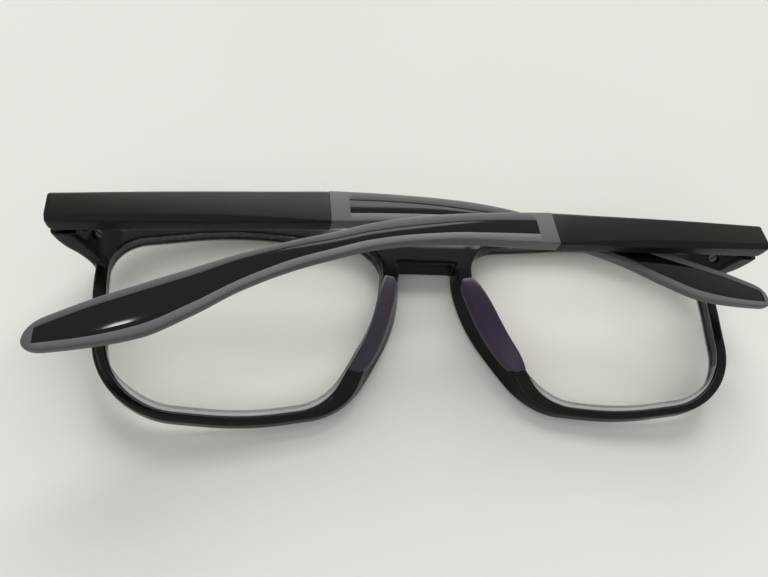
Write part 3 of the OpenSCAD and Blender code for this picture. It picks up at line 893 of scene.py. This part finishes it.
def sleeve_section(t):
    """Outline of the sleeve at a station, as (h, n) from the slot's upper edge round to its lower edge."""
    high, low, deep = upper(t), lower(t), thick(t)
    inset = COLLAR_INSET * fillet((t - SLEEVE_START) / COLLAR_ROUND)
    u = max(0.0, (t - TIP_START) / TIP_ROUND)
    shrink = max(TIP_LEAST, 1 - u ** TIP_HEIGHT_POWER) ** 0.5
    thin = deep * TIP_THIN * (1 - max(TIP_LEAST, 1 - u ** TIP_THIN_POWER) ** 0.5)
    middle = (high + low) / 2
    high, low = middle + (high - middle) * shrink - inset, middle + (low - middle) * shrink + inset
    face, back = -inset - thin, -deep + inset + thin
    most = min((face - back) * EDGE_MOST_T, (high - low) * EDGE_MOST_H)
    crisp, soft = min(OUTER_EDGE, most), min(INNER_EDGE, most)

    # Away from the slot its two edges meet in a seam, and the lip is flat
    inside = SLOT_START <= t <= SLOT_END
    near = SLOT_START - SLOT_NEAR < t < SLOT_END + SLOT_NEAR
    seam = (slot_up(t) + slot_low(t)) / 2 if near else (high + low) / 2
    top, bottom = (slot_up(t), slot_low(t)) if inside else (seam, seam)
    lip = LIP if inside else [(0.0, 0.0)] * len(LIP)
    corners = [(high, face, crisp), (high, back, soft), (low, back, soft), (low, face, crisp)]
    return [
        *((top + out, face - down) for out, down in lip),
        *rounded(corners, count=SLEEVE_STEPS),
        *((bottom - out, face - down) for out, down in reversed(lip)),
    ]


def sleeve(side, name):
    """Soft sleeve over the rear of the temple, with the slot that shows the rib."""
    band = np.linspace(BAND_START, SLOT_START - SLOT_WALL, BAND_SECTIONS)
    slot = np.linspace(SLOT_START, SLOT_END, SLOT_SECTIONS)
    tip = TEMPLE_L - TIP_ROUND * (1 - np.sin(np.linspace(0, math.pi / 2, TIP_SECTIONS)))
    ts = [*COLLAR_SECTIONS, *band, *slot, SLOT_END + SLOT_WALL, *tip[tip > SLOT_END + SLOT_NEAR]]
    rings = [[(t, h, n) for h, n in sleeve_section(t)] for t in ts]
    obj = loft(name, rings, temple_matrix(side), scale=MM)
    obj.data.materials.append(sleeve_grey)
    shade(obj, angle=40)
    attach(obj, name.replace("_sleeve", ""))
    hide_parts(name)


front()
for side, which in ((-1, "left"), (1, "right")):
    lens(side, which + "_lens")
    pad(side, which + "_nose_pad")
    core(side, which + "_temple_core")
    sleeve(side, which + "_temple_sleeve")

# CAD pieces that stay: hinge leaves and screws
for name, node in frame["nodes"].items():
    if node.hide_render:
        continue
    metal = hinge_steel if "leaf" in name and "screws" not in name else screw_steel
    node.data.materials.clear()
    node.data.materials.append(metal)
    shade(node, angle=30)


# Stage

# Half the floor's side and its height in metres, just below the glasses, and its colours
FLOOR_HALF, FLOOR_Z = 3.0, -5e-5
FLOOR_COLOR, FLOOR_DARK, FLOOR_PALE = (0.80, 0.80, 0.74), (0.785, 0.785, 0.725), (0.815, 0.815, 0.755)
# Shares of the floor's light, which add up to about 1: the world's, and each lamp's after its name, its
# direction and its spread in degrees
AMBIENT = 0.42
LAMPS = [
    ("key", (0.12, 1.0, 0.5), 52, 0.46),
    ("fill", (-0.3, -0.6, 0.6), 60, 0.1),
    ("spark", (-0.15, 0.3, 0.94), 3, 0.025),
]
AMBIENT_COLOR, BACKDROP_COLOR = (0.97, 0.98, 1.0), (0.78, 0.78, 0.74)
# The photograph's camera: angles in degrees, target and distance in millimetres, picture's size in pixels
AZIMUTH, ELEVATION, ROLL = -19.645, 59.393, 18.453
TARGET, DISTANCE = (-9.26, -9.76, 3.2), 118.59
PICTURE_W, PICTURE_H = 768, 577
SENSOR_W = 36.0
CLIP_NEAR, CLIP_FAR = 0.005, 20


def lay_floor():
    color = material("floor", FLOOR_COLOR, roughness=0.9, Specular_IOR_Level=0.0)
    tint(color, noise(color, scale=6, detail=2), FLOOR_DARK, FLOOR_PALE)
    corners = [(x * FLOOR_HALF, y * FLOOR_HALF, FLOOR_Z) for x, y in ((-1, -1), (1, -1), (1, 1), (-1, 1))]
    floor = make("floor", corners, [(0, 1, 2, 3)])
    floor.data.materials.append(color)


def world():
    """Backdrop that is pale where it is seen, also in glass and gloss, and dimmer as a source of light."""
    studio = bpy.data.worlds.new("studio")
    studio.use_nodes = True
    nodes, links = studio.node_tree.nodes, studio.node_tree.links
    ambient, backdrop = nodes["Background"], nodes.new("ShaderNodeBackground")
    ambient.inputs["Color"].default_value = (*AMBIENT_COLOR, 1)
    ambient.inputs["Strength"].default_value = AMBIENT
    backdrop.inputs["Color"].default_value = (*BACKDROP_COLOR, 1)
    path = nodes.new("ShaderNodeLightPath")
    seen = path.outputs["Is Camera Ray"]
    for kind in ("Is Glossy Ray", "Is Transmission Ray"):
        either = nodes.new("ShaderNodeMath")
        either.operation = "MAXIMUM"
        links.new(seen, either.inputs[0])
        links.new(path.outputs[kind], either.inputs[1])
        seen = either.outputs[0]
    mix = nodes.new("ShaderNodeMixShader")
    links.new(seen, mix.inputs["Fac"])
    links.new(ambient.outputs[0], mix.inputs[1])
    links.new(backdrop.outputs[0], mix.inputs[2])
    links.new(mix.outputs[0], nodes["World Output"].inputs["Surface"])
    bpy.context.scene.world = studio


def lamps():
    for name, towards, spread, share in LAMPS:
        lamp = bpy.data.lights.new(name, "SUN")
        direction = Vector(towards).normalized()
        lamp.angle, lamp.energy = math.radians(spread), share * math.pi / direction.z
        obj = bpy.data.objects.new(name, lamp)
        obj.location = direction
        obj.rotation_mode = "QUATERNION"
        obj.rotation_quaternion = direction.to_track_quat("Z", "Y")
        bpy.context.scene.collection.objects.link(obj)


def camera():
    """The photograph's camera, whose focal length is as long as the picture is high."""
    azimuth, elevation, roll = (math.radians(g) for g in (AZIMUTH, ELEVATION, ROLL))
    level = math.cos(elevation)
    back = Vector((math.sin(azimuth) * level, -math.cos(azimuth) * level, math.sin(elevation)))
    right = Vector((0, 0, 1)).cross(back).normalized()
    up = back.cross(right)
    c, s = math.cos(roll), math.sin(roll)
    axes = Matrix((right * c + up * s, up * c - right * s, back)).transposed().to_4x4()
    data = bpy.data.cameras.new("camera")
    data.sensor_width, data.lens = SENSOR_W, SENSOR_W * PICTURE_H / PICTURE_W
    data.clip_start, data.clip_end = CLIP_NEAR, CLIP_FAR
    obj = bpy.data.objects.new("camera", data)
    obj.matrix_world = Matrix.Translation((Vector(TARGET) + back * DISTANCE) * MM) @ axes
    bpy.context.scene.collection.objects.link(obj)
    bpy.context.scene.camera = obj


lay_floor()
world()
lamps()
camera()
bpy.context.scene.view_settings.view_transform = "Standard"
